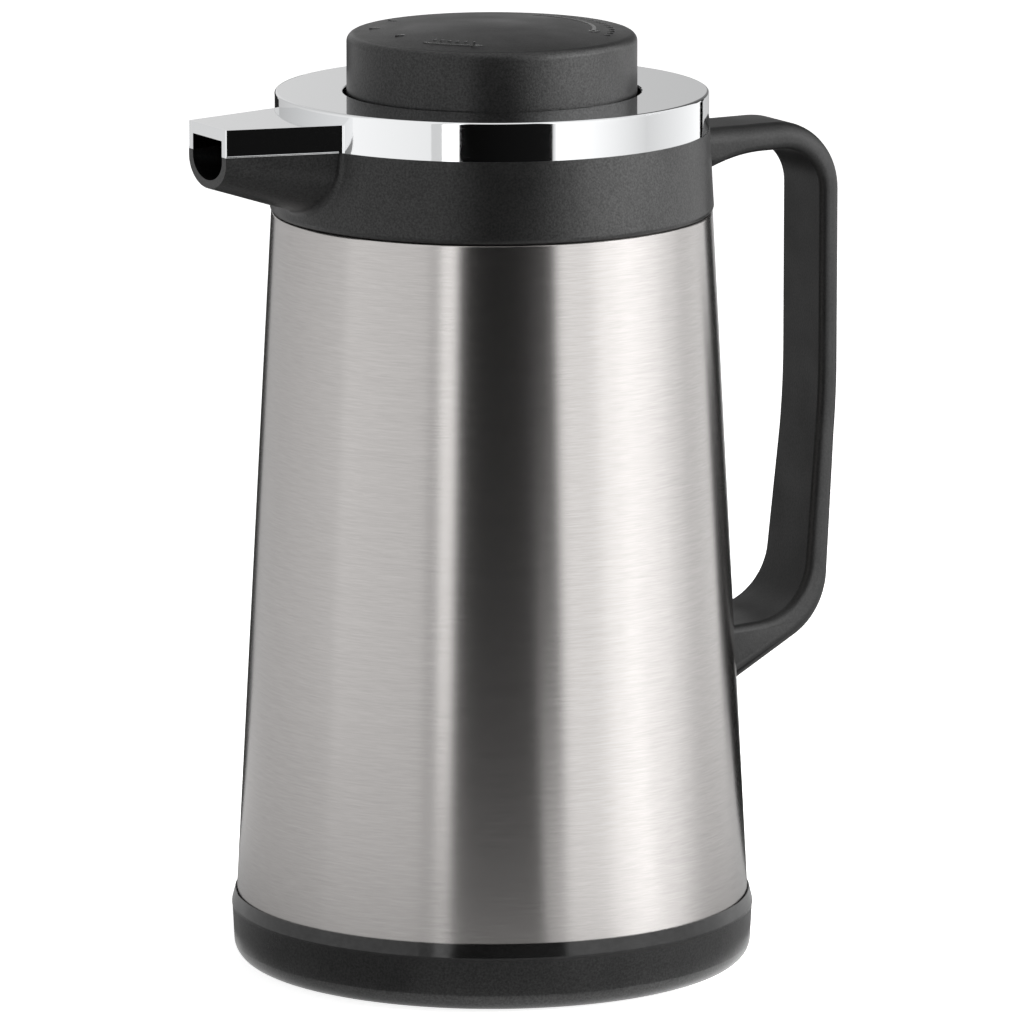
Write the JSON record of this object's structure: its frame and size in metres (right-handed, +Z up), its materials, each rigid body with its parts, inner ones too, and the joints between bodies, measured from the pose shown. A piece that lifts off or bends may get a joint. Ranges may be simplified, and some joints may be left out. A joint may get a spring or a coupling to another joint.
{
  "type": "thermal carafe",
  "caption": "Tapered vacuum carafe with brushed steel body, black base and collar, plated top ring with short spout, D-shaped side handle and round twist stopper.",
  "frame": {"origin": "on the vertical axis, in the plane that the foot ring stands on", "axes": "+Z up along the body's axis, -X out of the spout, +X towards the handle"},
  "size_m": [0.1958, 0.1446, 0.2578],
  "materials": {
    "base_black": "satin moulding",
    "trim_black": "polished bevel",
    "foot_rubber": "matt",
    "cap_black": "fine matt moulded texture",
    "flask_glass": "clear, silvered inside the vacuum",
    "spacer_felt": "pressed pads",
    "cushion_rubber": "matt",
    "band_rubber": "foamed",
    "gasket_silicone": "translucent",
    "steel": "brushed round the body",
    "clamp_zinc": "zinc plated",
    "collar_black": "fine matt moulded texture",
    "screw_steel": "plain",
    "plated_ring": "chrome plated",
    "handle_black": "fine matt moulded texture",
    "cover_black": "fine matt moulded texture",
    "plate_steel": "plain",
    "carrier_black": "fine matt moulded texture",
    "knob_black": "fine matt moulded texture",
    "seal_silicone": "translucent",
    "valve_black": "fine matt moulded texture",
    "foam_white": "foamed filling"
  },
  "bodies": {
    "housing": {"base_ring": "base_black", "base_trim": "trim_black", "foot_ring": "foot_rubber", "bottom_cap": "cap_black", "flask_outer": "flask_glass", "flask_inner": "flask_glass", "flask_spacers": "spacer_felt", "flask_cushion": "cushion_rubber", "flask_band": "band_rubber", "neck_gasket": "gasket_silicone", "steel_shell": "steel", "clamp_ring": "clamp_zinc", "collar": "collar_black", "pour_well": "collar_black", "collar_screws": "screw_steel", "top_ring": "plated_ring", "ring_screws": "screw_steel", "handle_shell": "handle_black", "handle_cover": "cover_black", "handle_top_screws": "screw_steel", "handle_foot_plate": "plate_steel", "handle_foot_screws": "screw_steel"},
    "stopper": {"stopper_carrier": "carrier_black", "carrier_seal": "seal_silicone"},
    "knob": {"knob_cap": "knob_black", "knob_spindle": "carrier_black", "knob_clip": "screw_steel"},
    "valve": {"valve_body": "valve_black", "valve_seal": "seal_silicone", "valve_foot": "valve_black", "valve_foam": "foam_white"}
  },
  "joints": [
    {"name": "stopper_lift", "type": "slide", "parent": "housing", "child": "stopper", "axis": [0, 0, 1], "range_m": [0, 0.065]},
    {"name": "knob_turn", "type": "hinge", "parent": "stopper", "child": "knob", "pos_m": [0, 0, 0.24], "axis": [0, 0, 1], "range_deg": [0, 180]},
    {"name": "valve_rise", "type": "slide", "parent": "stopper", "child": "valve", "axis": [0, 0, 1], "range_m": [0, 0.006]}
  ],
  "couplings": [
    {"joint": "valve_rise", "follows": "knob_turn", "m_per_rad": 0.0019099}
  ]
}
